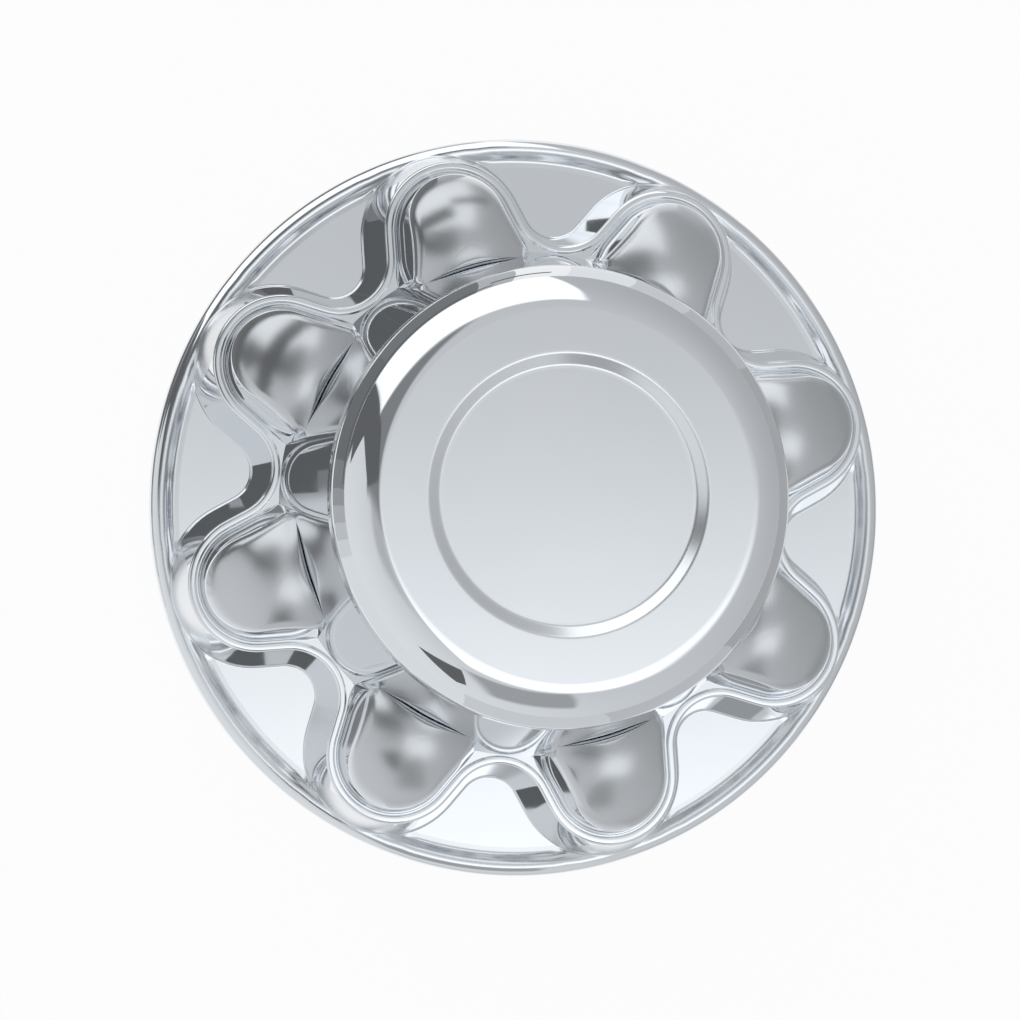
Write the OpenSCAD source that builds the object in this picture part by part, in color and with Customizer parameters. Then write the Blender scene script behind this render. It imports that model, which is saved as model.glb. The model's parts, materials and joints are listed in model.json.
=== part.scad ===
// Push-on hub cover for an eight-lug wheel: one chrome-plated moulding and eight spring rings.
// Origin: centre of the rim's back plane. +Z runs out along the wheel's axle. Millimetres.

/* [Lug pattern] */
// Diameter of the circle through the lug centres
lug_circle_d = 165.1; // [163:0.1:167.6]

/* [Rim] */
// Distance from the lug circle out to the rim's edge
rim_reach = 26.75; // [26:0.05:29]
// Radius of the half-round bead along the rim
rim_bead_r = 3.05; // [2.85:0.05:3.3]
// Height of the bead's crest above the back plane
rim_h = 10.8; // [10.3:0.1:12]
// Height of the flat floors between the scallops
floor_h = 8.5; // [8:0.1:9]

/* [Scallops] */
// Height of the scalloped lip
lip_h = 27.2; // [26.4:0.1:30]
// Radius of the lip's outline round each lug
boss_r = 19.7; // [19:0.05:20.2]
// Radius of the hollow arc between two lugs
valley_r = 13.8; // [12:0.1:14.1]
// Width of the shelf between the hub's foot and the lip, at the middle of a hollow arc
valley_shelf_w = 0.3; // [0.2:0.05:1]
// Draft of the scalloped wall in degrees
wall_draft = 14; // [10:0.5:15]
// Width of the raised lip
lip_w = 2.2; // [1.8:0.1:2.6]
// Depth of the step inside the lip
lip_step = 1.0; // [0.6:0.1:1.4]
// Width of the groove between the lip and a dome's foot
groove_w = 0.6; // [0.4:0.05:0.9]

/* [Lug domes] */
// Draft of the dome's walls in degrees
dome_draft = 12.5; // [10:0.5:14]
// Gap between the hub's skirt and the domes' ends, at the height of the domes' summits
dome_gap = 0.85; // [0.5:0.05:1.2]
// Distance of the dome's summit from the lug circle, towards the hub
summit_reach = 6.55; // [5:0.05:8]
// Height of the dome's summit
summit_h = 45.3; // [43:0.1:48]
// Radius of the sphere that crowns the dome
crown_r = 27.3; // [26:0.1:30]

/* [Hub] */
// Height of the hub's flat top
hub_h = 86.9; // [80:0.1:95]
// Radius of the hub's upright wall
hub_r = 63.8; // [62:0.1:65]
// Height of that wall, between the edge rounding and the conical skirt
hub_wall_h = 3.9; // [3:0.1:8]
// Radius of the rounding along the hub's edge
hub_round_r = 13; // [11:0.5:15]
// Distance of the skirt's foot from the lug circle, towards the hub
skirt_reach = 9.35; // [8.6:0.05:10]
// Radius of the shallow disc recess at its upper edge
recess_r = 38.3; // [32:0.1:42]
// Width of the recess's inclined step
recess_step_w = 2.8; // [1.5:0.1:4]
// Depth of the recess
recess_depth = 1.5; // [1:0.1:2]

/* [Shell and lug collars] */
// Thickness of the moulded shell
wall = 2.6; // [2.3:0.05:2.8]
// Bore of each collar, which slides over a lug nut
collar_bore_d = 26; // [25.2:0.1:26.4]
// Wall of each collar
collar_wall = 3.2; // [3:0.05:3.4]
// Height of the collars' mouths above the back plane
collar_mouth_h = 7; // [4:0.1:8]
// Width of the slits that let a collar flex
slit_w = 2.4; // [1.6:0.1:3.2]
// Length of those slits
slit_l = 9; // [7:0.1:10]

/* [Spring rings] */
// Diameter of the spring ring's wire
ring_wire_d = 1.6; // [1.4:0.05:1.8]
// Depth of the seat that holds the ring
ring_seat_depth = 0.8; // [0.6:0.05:0.9]
// Distance of the ring from the collar's mouth
ring_from_mouth = 3.2; // [2.6:0.1:4]
// Gap between a ring's two ends, in degrees
ring_gap_angle = 24; // [14:1:36]
// Clearance between a ring and its seat
ring_clearance = 0.05; // [0.03:0.01:0.08]

/* [Hidden] */

$fn = 96;
wire_facets = 32;
// Overlap of solids that are joined, and reach of a cut past a face
lap = 1;
// Straight sides stop this far inside the round that they blend into
bite = 0.08;

chrome_colour = [0.78, 0.80, 0.82];
spring_colour = [0.55, 0.56, 0.58];

// Number of wheel lugs, domes and scallops; each has its own ring node
lug_count = 8;
// Angles of the two slits across a collar, in degrees from the ray through its lug
slit_angles = [45, 135];
// The collars' bores run up into the shelf, up to this share of its thickness
bore_share = 0.4;

lug_r = lug_circle_d / 2;
rim_r = lug_r + rim_reach;
summit_r = lug_r - summit_reach;
lug_step = 360 / lug_count;
shelf_h = lip_h - lip_step;

// The hub's skirt: a cone from its foot on the shelf up to the upright wall
skirt_foot_r = lug_r - skirt_reach;
skirt_top_h = hub_h - hub_round_r - hub_wall_h;
skirt_slope = (skirt_foot_r - hub_r) / (skirt_top_h - shelf_h);
valley_centre_r = skirt_foot_r + valley_shelf_w + lip_w + valley_r;

// Circle on which the domes end, and height at which the groove behind them runs out
dome_inner_r = skirt_r(summit_h) + dome_gap;
groove_foot_h = summit_h - dome_gap / skirt_slope;

collar_bore_r = collar_bore_d / 2;
collar_r = collar_bore_r + collar_wall;
collar_top_h = shelf_h - (1 - bore_share) * wall;
ring_centre_r = collar_r + ring_wire_d / 2 - ring_seat_depth;

// Direction, seen from a lug centre, of the point where the round boss runs into a straight side
valley_centre = valley_centre_r * [cos(lug_step / 2), sin(lug_step / 2)];
lug_to_valley = valley_centre - [lug_r, 0];
side_angle = atan2(lug_to_valley.y, lug_to_valley.x)
    - acos((boss_r + valley_r) / norm(lug_to_valley));

function turned(p, angle) =
    [p.x * cos(angle) - p.y * sin(angle), p.x * sin(angle) + p.y * cos(angle)];

function on_circle(r, angle) = r * [cos(angle), sin(angle)];

// Radius of the hub's skirt at height z
function skirt_r(z) = hub_r + (skirt_top_h - z) * skirt_slope;

// Growth of the scalloped outline at height z, from its size at the lip
function spread(z) = (lip_h - z) * tan(wall_draft);

// Corners of the straight-sided star that joins the round bosses, grown by g
function star(g) = [for (i = [0 : lug_count - 1])
    let (
        boss_end = [lug_r, 0] + on_circle(boss_r + g - bite, side_angle),
        valley_end = valley_centre - on_circle(valley_r - g - bite, side_angle)
    )
    each [
        turned([valley_end.x, -valley_end.y], i * lug_step),
        turned([boss_end.x, -boss_end.y], i * lug_step),
        turned(boss_end, i * lug_step),
        turned(valley_end, i * lug_step)
    ]];

// Corners of a dome's straight-sided part: a nose of radius r, with sides that flare to the hub
function flare(r) =
    let (
        nose_end = on_circle(r - bite, side_angle),
        reach = lug_r - hub_r,
        run = (nose_end.x + reach) / sin(side_angle),
        far_end = [-reach, nose_end.y + run * cos(side_angle)]
    )
    [[far_end.x, -far_end.y], [nose_end.x, -nose_end.y], nose_end, far_end];

module each_lug() {
    for (i = [0 : lug_count - 1])
        rotate([0, 0, i * lug_step])
            children();
}

// Solid between a lower and an upper outline that have equal numbers of corners
module drafted(low, high, z0, z1) {
    n = len(low);
    polyhedron(
        points = concat([for (p = low) [p.x, p.y, z0]], [for (p = high) [p.x, p.y, z1]]),
        faces = concat(
            [[for (i = [0 : n - 1]) i]],
            [[for (i = [n - 1 : -1 : 0]) n + i]],
            [for (i = [0 : n - 1]) let (j = (i + 1) % n) [i, i + n, j + n, j]]));
}

// Scalloped block whose outline is the lip's, grown by g0 at its foot z0 and by g1 at its top z1.
// Its parts reach past both ends by different lengths, and one slab trims them flush.
module scallops(z0, z1, g0, g1) {
    slope = (g1 - g0) / (z1 - z0);
    intersection() {
        difference() {
            union() {
                drafted(
                    star(g0 - 2 * lap * slope),
                    star(g1 + 2 * lap * slope),
                    z0 - 2 * lap,
                    z1 + 2 * lap);
                each_lug()
                    translate([lug_r, 0, z0 - lap])
                        cylinder(
                            h = z1 - z0 + 2 * lap,
                            r1 = boss_r + g0 - slope * lap,
                            r2 = boss_r + g1 + slope * lap);
            }
            each_lug()
                translate([valley_centre.x, valley_centre.y, z0 - 3 * lap])
                    cylinder(
                        h = z1 - z0 + 6 * lap,
                        r1 = valley_r - g0 + 3 * slope * lap,
                        r2 = valley_r - g1 - 3 * slope * lap);
        }
        translate([0, 0, z0])
            cylinder(h = z1 - z0, r = rim_r + lap);
    }
}

// Hub outside, or its hollow when inset by the shell's thickness
module hub_form(inset, z0) {
    wall_r = hub_r - inset;
    round_r = hub_round_r - inset;
    top = hub_h - inset;
    rotate_extrude()
        union() {
            polygon([
                [0, z0],
                [skirt_r(z0) - inset, z0],
                [wall_r, skirt_top_h],
                [wall_r, top - round_r],
                [wall_r - round_r, top],
                [0, top]]);
            translate([wall_r - round_r, top - round_r])
                intersection() {
                    circle(r = round_r);
                    square(round_r);
                }
        }
}

// D-shaped boss over one lug, drafted and crowned by a sphere
module dome_form(inset, z0) {
    foot_r = boss_r - lip_w - groove_w - inset + (shelf_h - z0) * tan(dome_draft);
    top = summit_h + lap;
    narrowing = tan(dome_draft);
    intersection() {
        union() {
            translate([lug_r, 0, z0])
                cylinder(h = top - z0, r1 = foot_r, r2 = foot_r - (top - z0) * narrowing);
            translate([lug_r, 0, 0])
                drafted(
                    flare(foot_r + lap * narrowing),
                    flare(foot_r - (top + lap - z0) * narrowing),
                    z0 - lap,
                    top + lap);
        }
        translate([summit_r, 0, summit_h - crown_r])
            sphere(r = crown_r - inset);
        translate([lug_r, 0, z0])
            cylinder(h = top - z0, r = lug_r / 2);
    }
}

// All domes, parted from the skirt by a groove as deep as the skirt's slope leaves it open
module domes(inset, z0) {
    groove_h = groove_foot_h - lap - inset;
    difference() {
        each_lug()
            dome_form(inset, z0);
        translate([0, 0, groove_h])
            cylinder(h = summit_h + 2 * lap - groove_h, r = dome_inner_r + inset);
    }
}

module rim_form() {
    bead_centre = [rim_r - rim_bead_r, rim_h - rim_bead_r];
    rotate_extrude()
        union() {
            square([bead_centre.x, floor_h]);
            translate([bead_centre.x - lap, 0])
                square([rim_bead_r + lap, bead_centre.y]);
            translate(bead_centre)
                circle(r = rim_bead_r);
        }
}

module shell_outside() {
    foot = floor_h - lap;
    difference() {
        scallops(foot, lip_h, spread(foot), 0);
        scallops(shelf_h, lip_h + lap, -lip_w, -lip_w);
    }
    rim_form();
    domes(0, shelf_h - lap);
    hub_form(0, shelf_h - lap);
}

module shell_inside() {
    floor_underside = floor_h - wall;
    shelf_underside = shelf_h - wall;
    foot = floor_underside - lap;
    translate([0, 0, -lap])
        cylinder(h = floor_underside + lap, r = rim_r - wall);
    scallops(foot, shelf_underside, spread(foot) - wall, spread(shelf_underside) - wall);
    domes(wall, shelf_underside - lap);
    difference() {
        hub_form(wall, 0);
        translate([0, 0, hub_h - recess_depth - wall])
            cylinder(h = wall + recess_depth, r = recess_r + wall);
    }
}

module recess_cut() {
    step_slope = recess_step_w / recess_depth;
    translate([0, 0, hub_h - recess_depth])
        cylinder(
            h = recess_depth + lap,
            r1 = recess_r - recess_step_w,
            r2 = recess_r + step_slope * lap);
}

// Tube that hangs from the shelf round one lug nut
module collar() {
    translate([0, 0, collar_mouth_h])
        cylinder(h = collar_top_h - collar_mouth_h, r = collar_r);
}

// Bore, slits and ring seat of one collar
module collar_cuts() {
    translate([0, 0, -lap])
        cylinder(h = collar_top_h + lap, r = collar_bore_r);
    for (a = slit_angles)
        rotate([0, 0, a])
            translate([-collar_r - lap, -slit_w / 2, collar_mouth_h - lap])
                cube([2 * (collar_r + lap), slit_w, slit_l + lap]);
    translate([0, 0, collar_mouth_h + ring_from_mouth])
        rotate_extrude()
            translate([ring_centre_r, 0])
                circle(r = ring_wire_d / 2 + ring_clearance);
}

module cover_shell() {
    color(chrome_colour)
        difference() {
            union() {
                difference() {
                    shell_outside();
                    shell_inside();
                    recess_cut();
                }
                each_lug()
                    translate([lug_r, 0, 0])
                        collar();
            }
            each_lug()
                translate([lug_r, 0, 0])
                    collar_cuts();
        }
}

// Open ring of round spring wire round one collar, its gap turned towards the axle
module lug_ring(i) {
    color(spring_colour)
        rotate([0, 0, (i - 1) * lug_step])
            translate([lug_r, 0, collar_mouth_h + ring_from_mouth])
                rotate([0, 0, 180 + ring_gap_angle / 2])
                    rotate_extrude(angle = 360 - ring_gap_angle)
                        translate([ring_centre_r, 0])
                            circle(r = ring_wire_d / 2, $fn = wire_facets);
}

cover_shell();
lug_ring(1);  // lug_ring_1
lug_ring(2);  // lug_ring_2
lug_ring(3);  // lug_ring_3
lug_ring(4);  // lug_ring_4
lug_ring(5);  // lug_ring_5
lug_ring(6);  // lug_ring_6
lug_ring(7);  // lug_ring_7
lug_ring(8);  // lug_ring_8
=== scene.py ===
import json
import math

import bmesh
import bpy
import numpy as np
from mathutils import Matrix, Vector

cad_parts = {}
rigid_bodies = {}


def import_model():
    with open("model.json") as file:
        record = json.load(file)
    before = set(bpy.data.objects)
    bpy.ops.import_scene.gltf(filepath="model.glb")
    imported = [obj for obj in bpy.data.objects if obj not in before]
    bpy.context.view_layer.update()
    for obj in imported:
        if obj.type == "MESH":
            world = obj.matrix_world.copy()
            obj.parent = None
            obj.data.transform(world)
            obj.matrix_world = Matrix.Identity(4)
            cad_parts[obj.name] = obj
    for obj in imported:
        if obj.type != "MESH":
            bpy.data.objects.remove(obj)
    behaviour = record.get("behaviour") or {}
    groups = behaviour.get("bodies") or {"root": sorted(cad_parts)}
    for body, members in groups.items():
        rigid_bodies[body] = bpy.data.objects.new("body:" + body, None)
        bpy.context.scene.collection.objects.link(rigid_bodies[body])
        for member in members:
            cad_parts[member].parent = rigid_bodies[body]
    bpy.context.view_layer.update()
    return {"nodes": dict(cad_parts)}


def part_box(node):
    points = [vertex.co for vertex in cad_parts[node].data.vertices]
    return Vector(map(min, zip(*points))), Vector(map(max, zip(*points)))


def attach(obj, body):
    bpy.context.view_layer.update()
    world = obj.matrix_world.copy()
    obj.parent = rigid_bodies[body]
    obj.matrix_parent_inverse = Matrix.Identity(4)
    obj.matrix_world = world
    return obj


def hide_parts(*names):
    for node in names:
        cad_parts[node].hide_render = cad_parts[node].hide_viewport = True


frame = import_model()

bl_info = {
    "name": "Axle hub cover",
    "version": (1, 0, 0),
    "blender": (4, 5, 0),
    "location": "View3D > Sidebar > Hub cover",
    "description": "Builds a chromed hub cover with lug domes, its spring rings and a studio round it",
    "category": "Add Mesh",
}

MM = 0.001
SHELL_NODE = "cover_shell"
RING_NODES = sorted(name for name in frame["nodes"] if name.startswith("lug_ring"))
LUG_COUNT = len(RING_NODES)
LUG_STEP = 2 * math.pi / LUG_COUNT

# Sizes that the frame gives. The first ring lies on the x axis with its gap towards the axle,
# so its far end and its width give the middle of a lug.
_, SHELL_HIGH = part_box(SHELL_NODE)
RING_LOW, RING_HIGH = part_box(RING_NODES[0])
RIM_RADIUS = SHELL_HIGH.x
COVER_HEIGHT = SHELL_HIGH.z
LUG_RADIUS = RING_HIGH.x - (RING_HIGH.y - RING_LOW.y) / 2

# Steps along each stretch of the curved surfaces
BOSS_STEPS, SIDE_STEPS, VALLEY_STEPS = 15, 2, 12
NOSE_STEPS, SKIRT_STEPS, CORNER_STEPS, INNER_STEPS, GAP_STEPS = 18, 3, 9, 9, 10
ROUND_STEPS, WALL_STEPS, BEAD_STEPS, CROWN_STEPS = 6, 3, 11, 9
# Shares of a dome's straight side at which its columns stand, closer together towards the hub
FLANK_SHARES = (0, 0.25, 0.5, 0.7, 0.82, 0.9, 0.95, 0.98, 1)
# Fine steps along each stretch of a dome's outline, from which the columns are picked
FINE_STEPS = 400
# Halvings that find the place where two surfaces meet
SEARCH_STEPS = 40
# Longest steps of an arc, as a turn and as a length
ARC_TURN = math.radians(11)
ARC_LENGTH = 0.9 * MM

# Width of the flat border that keeps shading off a flat face beside a rounding
BORDER = 0.05 * MM
# Stretches longer than this get such a border at both ends
LONG_STRETCH = 1 * MM
# A fillet takes at most one part in this many of the face beside it
FILLET_PARTS = 3
# Share of a dome's wall that the rounding above it may take
ROUNDING_SHARE = 0.8
# How far inside the lug's middle a dome's foot fillet starts to grow, in widths of the groove
GROWTH_START = 8
MERGE_DISTANCE = 0.001 * MM
SHARP_DEGREES = 40
TINY = 1e-12

# Noise patterns of the finishes: features for each metre, and detail
CLOUDS, SMEARS, WAVES = (18, 3), (140, 5), (70, 1)
STREAKS, STAINS = (2200, 4), (160, 3)
# Range in which most of a noise pattern lies
NOISE_LOW, NOISE_HIGH = 0.3, 0.7
# How clouds in the plating and stains on the wire dim them
CLOUD_TINT = np.array([0.965, 0.97, 0.98])
DOME_CLOUD, STAIN_SHADE = 0.97, 0.8
# The plating's haze falls to one part in this many where it is clearest
HAZE_PARTS = 3
# Smallest and largest share of the wire's roughness, and the depth and strength of its grain
WIRE_CLEAR, WIRE_ROUGH = 0.7, 1.2
GRAIN_DEPTH, GRAIN_STRENGTH = 0.01 * MM, 0.5
# Heights between which the crowns' haze and painted shade come in above the lip and go out
# below the hub's edge, and how far upwards a face has to look for them
CROWNS_COME_IN, CROWNS_GO_OUT = (30 * MM, 36 * MM), (60 * MM, 50 * MM)
CROWNS_LOOK_UP = (0.4, 0.75)
# Duller rings over the recess's step and the bead's foot: inner and outer radius, and the
# height that each starts from
HAZY_RINGS = [(34 * MM, 39.5 * MM, 80 * MM), (100.5 * MM, 107 * MM, 0)]
RING_EDGE = 0.5 * MM
FLOOR_ROUGHNESS = 0.9
NEAR_CLIP, FAR_CLIP = 0.01, 20

# The photo's own turn about the axle line. What the chrome mirrors is placed in the photo's frame,
# in degrees sideways and upwards off the axle line.
PHOTO_TURN = math.radians(16.07)
# Where the world is brightest
BRIGHT_SIDE = (-74, -52)

# Patches of light and shade in the world: corners in those degrees, each with the softness in
# degrees of the edge after it
KEY_PATCH = [((0, -1), 9), ((27, -1), 6), ((24, -24), 3), ((-4, -22), 0.8)]
SIDE_PATCH_RIGHT = [
    ((13, 24), 0.6), ((15, 50), 0.6), ((8, 95), 1), ((-26, 95), 1), ((-12, 31.5), 2)]
SIDE_PATCH_LEFT = [
    ((-7.5, 31), 1), ((-20, 95), 1), ((-37, 88), 2), ((-71, 55), 1), ((-33, 22), 2)]
SHADE_PATCH = [((-1, 0), 2.5), ((-3, 28), 2.5), ((-33, 22), 1.5), ((-31, 3), 2)]
HALF_SHADE_PATCH = [((-3, 1), 3), ((-19, 5), 5), ((-24, -9), 5), ((-5, -10), 4)]
HORIZON_PATCH = [
    ((-68, 28.5), 1), ((-71, 55), 2), ((-65, 75), 2), ((-110, 60), 2), ((-105, 5), 2)]
STRIP_PATCH = [((-10, -32), 2), ((11, -26), 1), ((15, -62), 5), ((-14, -65), 3)]

# Dark cards: the place each is seen from in millimetres, its distance from there in metres, and
# its corners in degrees. The first two make one wedge.
DARK_CARDS = [
    ((-52, 24, 83), 0.62, [(-3, 1.5), (-33, 21), (-55, 21), (-29, 2)]),
    ((-52, 24, 83), 0.62, [(-33, 21), (-71, 55), (-79, 14), (-55, 21)]),
    ((-35, -48, 80), 0.12, [(-39, -40), (-10, -35), (-18, -63), (-25, -66)])]

# Dark hood over the rim: first and last direction in degrees, and inner radius, outer radius and
# height in millimetres
HOOD_CARDS = [
    (88, 104, 119, 136, 62), (104, 122, 111, 138, 74), (122, 142, 107, 139, 75),
    (142, 160, 106, 138, 75), (160, 176, 105, 134.5, 75)]

# Cloths on the floor beside the cover: first and last direction in degrees, and brightness
FLOOR_CLOTHS = [
    (-35, 0, 0.42), (0, 32, 0.42), (32, 50, 0.52), (50, 64, 0.65), (64, 80, 0.85),
    (94, 104, 0.5), (104, 137, 0.2), (137, 168, 0.17), (168, 176, 0.24), (176, 181, 0.34),
    (181, 186, 0.46), (186, 191, 0.58), (191, 196, 0.7), (196, 212, 0.8), (212, 250, 0.8),
    (250, 290, 0.66), (290, 325, 0.55)]
CLOTH_INNER, CLOTH_OUTER, CLOTH_LIFT = 0.128, 3.0, 0.0004


class HubCoverForm(bpy.types.PropertyGroup):
    """Sizes of the moulded shell's outside"""

    floor_height: bpy.props.FloatProperty(
        name="Floor height", description="Height of the flat floors between the scallops",
        default=8.5 * MM, unit="LENGTH")
    bead_radius: bpy.props.FloatProperty(
        name="Bead radius", description="Radius of the bead along the rim",
        default=3.05 * MM, unit="LENGTH")
    bead_height: bpy.props.FloatProperty(
        name="Bead height", description="Height of the bead's crest",
        default=10.8 * MM, unit="LENGTH")
    lip_height: bpy.props.FloatProperty(
        name="Lip height", description="Height of the scalloped lip",
        default=27.2 * MM, unit="LENGTH")
    lip_width: bpy.props.FloatProperty(
        name="Lip width", description="Width of the raised lip",
        default=2.2 * MM, unit="LENGTH")
    lip_step: bpy.props.FloatProperty(
        name="Lip step", description="Depth of the step inside the lip",
        default=1.0 * MM, unit="LENGTH")
    lip_outer_round: bpy.props.FloatProperty(
        name="Lip outer rounding", description="Radius along the lip's outer edge",
        default=0.9 * MM, unit="LENGTH")
    lip_inner_round: bpy.props.FloatProperty(
        name="Lip inner rounding", description="Radius along the lip's inner edge",
        default=0.6 * MM, unit="LENGTH")
    groove_width: bpy.props.FloatProperty(
        name="Groove width", description="Width of the groove between the lip and a dome's foot",
        default=0.6 * MM, unit="LENGTH")
    groove_fillet: bpy.props.FloatProperty(
        name="Groove fillet", description="Radius in the corners of that groove",
        default=0.15 * MM, unit="LENGTH")
    wall_foot_fillet: bpy.props.FloatProperty(
        name="Wall foot fillet", description="Reach of the fillet where the wall meets floor or bead",
        default=0.45 * MM, unit="LENGTH")
    bead_foot_fillet: bpy.props.FloatProperty(
        name="Bead foot fillet", description="Reach of the fillet where the bead meets a floor",
        default=1.2 * MM, unit="LENGTH")
    rim_edge_round: bpy.props.FloatProperty(
        name="Rim edge rounding", description="Radius along the rim's back edge",
        default=0.4 * MM, unit="LENGTH")
    boss_radius: bpy.props.FloatProperty(
        name="Boss radius", description="Radius of the lip's outline round a lug",
        default=19.7 * MM, unit="LENGTH")
    valley_radius: bpy.props.FloatProperty(
        name="Valley radius", description="Radius of the hollow arc between two lugs",
        default=13.8 * MM, unit="LENGTH")
    valley_centre: bpy.props.FloatProperty(
        name="Valley centre", description="Distance of that arc's centre from the axle line",
        default=89.5 * MM, unit="LENGTH")
    wall_draft: bpy.props.FloatProperty(
        name="Wall draft", description="Draft of the scalloped wall",
        default=math.radians(14), subtype="ANGLE")


class HubCoverDomes(bpy.types.PropertyGroup):
    """Sizes of the eight lug domes"""

    draft: bpy.props.FloatProperty(
        name="Draft", description="Draft of a dome's nose and sides",
        default=math.radians(12.5), subtype="ANGLE")
    inner_radius: bpy.props.FloatProperty(
        name="Inner radius", description="Radius of the circle that ends the domes towards the hub",
        default=69.95 * MM, unit="LENGTH")
    corner_radius: bpy.props.FloatProperty(
        name="Corner radius", description="Radius of the two corners beside that end",
        default=2.2 * MM, unit="LENGTH")
    foot_fillet: bpy.props.FloatProperty(
        name="Foot fillet", description="Reach of the fillet at the foot of the sides",
        default=0.5 * MM, unit="LENGTH")
    skirt_fillet: bpy.props.FloatProperty(
        name="Skirt fillet", description="Reach of the fillet where the dome's walls meet the skirt",
        default=0.8 * MM, unit="LENGTH")
    summit_radius: bpy.props.FloatProperty(
        name="Summit radius", description="Distance of the summit from the axle line",
        default=76 * MM, unit="LENGTH")
    summit_height: bpy.props.FloatProperty(
        name="Summit height", description="Height of the summit",
        default=45.3 * MM, unit="LENGTH")
    crown_radius: bpy.props.FloatProperty(
        name="Crown radius", description="Radius of the crown along a ray from the axle",
        default=27.3 * MM, unit="LENGTH")
    crown_flatness: bpy.props.FloatProperty(
        name="Crown flatness", description="Share of the crown's fall across that ray",
        default=0.76, subtype="FACTOR")
    nose_round: bpy.props.FloatProperty(
        name="Nose rounding", description="Reach of the rounding over the nose",
        default=3.0 * MM, unit="LENGTH")
    side_round: bpy.props.FloatProperty(
        name="Side rounding", description="Reach of the rounding over the sides",
        default=2.8 * MM, unit="LENGTH")
    inner_round: bpy.props.FloatProperty(
        name="Inner rounding", description="Reach of the rounding over the end towards the hub",
        default=1.9 * MM, unit="LENGTH")


class HubCoverHub(bpy.types.PropertyGroup):
    """Sizes of the round hub and its disc recess"""

    foot_radius: bpy.props.FloatProperty(
        name="Foot radius", description="Radius of the conical skirt at the shelf",
        default=73.2 * MM, unit="LENGTH")
    wall_radius: bpy.props.FloatProperty(
        name="Wall radius", description="Radius of the hub's upright wall",
        default=63.8 * MM, unit="LENGTH")
    skirt_height: bpy.props.FloatProperty(
        name="Skirt height", description="Height at which the skirt runs into the upright wall",
        default=70 * MM, unit="LENGTH")
    crease_round: bpy.props.FloatProperty(
        name="Crease rounding", description="Radius where the skirt runs into the upright wall",
        default=3.0 * MM, unit="LENGTH")
    edge_round: bpy.props.FloatProperty(
        name="Edge rounding", description="Radius along the hub's upper edge",
        default=13 * MM, unit="LENGTH")
    recess_radius: bpy.props.FloatProperty(
        name="Recess radius", description="Radius of the disc recess at its upper edge",
        default=38.3 * MM, unit="LENGTH")
    recess_step: bpy.props.FloatProperty(
        name="Recess step", description="Width of the recess's inclined step",
        default=2.8 * MM, unit="LENGTH")
    recess_depth: bpy.props.FloatProperty(
        name="Recess depth", description="Depth of the recess",
        default=1.5 * MM, unit="LENGTH")
    recess_round: bpy.props.FloatProperty(
        name="Recess rounding", description="Radius along both edges of the recess's step",
        default=1.8 * MM, unit="LENGTH")


class HubCoverFinish(bpy.types.PropertyGroup):
    """Colours and gloss of the chrome and the spring wire, and the painted shade on the domes' crowns
    """

    chrome_colour: bpy.props.FloatVectorProperty(
        name="Chrome colour", description="Colour of the chrome plating",
        default=(0.86, 0.875, 0.89), subtype="COLOR", size=3, min=0, max=1)
    chrome_haze: bpy.props.FloatProperty(
        name="Chrome haze", description="Largest roughness of the plating",
        default=0.06, min=0, max=1, subtype="FACTOR")
    # Painted shade: the domes' crowns get a darker colour than the rest of the plating, which stands
    # in for the dimmer reflections on them
    dome_painted_shade: bpy.props.FloatProperty(
        name="Dome shade",
        description="Brightness of the domes' crowns beside the rest of the plating",
        default=0.74, min=0, max=1, subtype="FACTOR")
    dome_haze: bpy.props.FloatProperty(
        name="Dome haze", description="Roughness of the plating on the domes' crowns",
        default=0.27, min=0, max=1, subtype="FACTOR")
    ring_haze: bpy.props.FloatProperty(
        name="Ring haze",
        description="Roughness of the plating on the recess's step and the bead's foot",
        default=0.22, min=0, max=1, subtype="FACTOR")
    chrome_waviness: bpy.props.FloatProperty(
        name="Chrome waviness", description="Depth of the moulding's faint waves",
        default=0.004 * MM, unit="LENGTH")
    wire_colour: bpy.props.FloatVectorProperty(
        name="Wire colour", description="Colour of the spring wire",
        default=(0.50, 0.50, 0.49), subtype="COLOR", size=3, min=0, max=1)
    wire_roughness: bpy.props.FloatProperty(
        name="Wire roughness", description="Roughness of the drawn wire",
        default=0.34, min=0, max=1, subtype="FACTOR")


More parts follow.
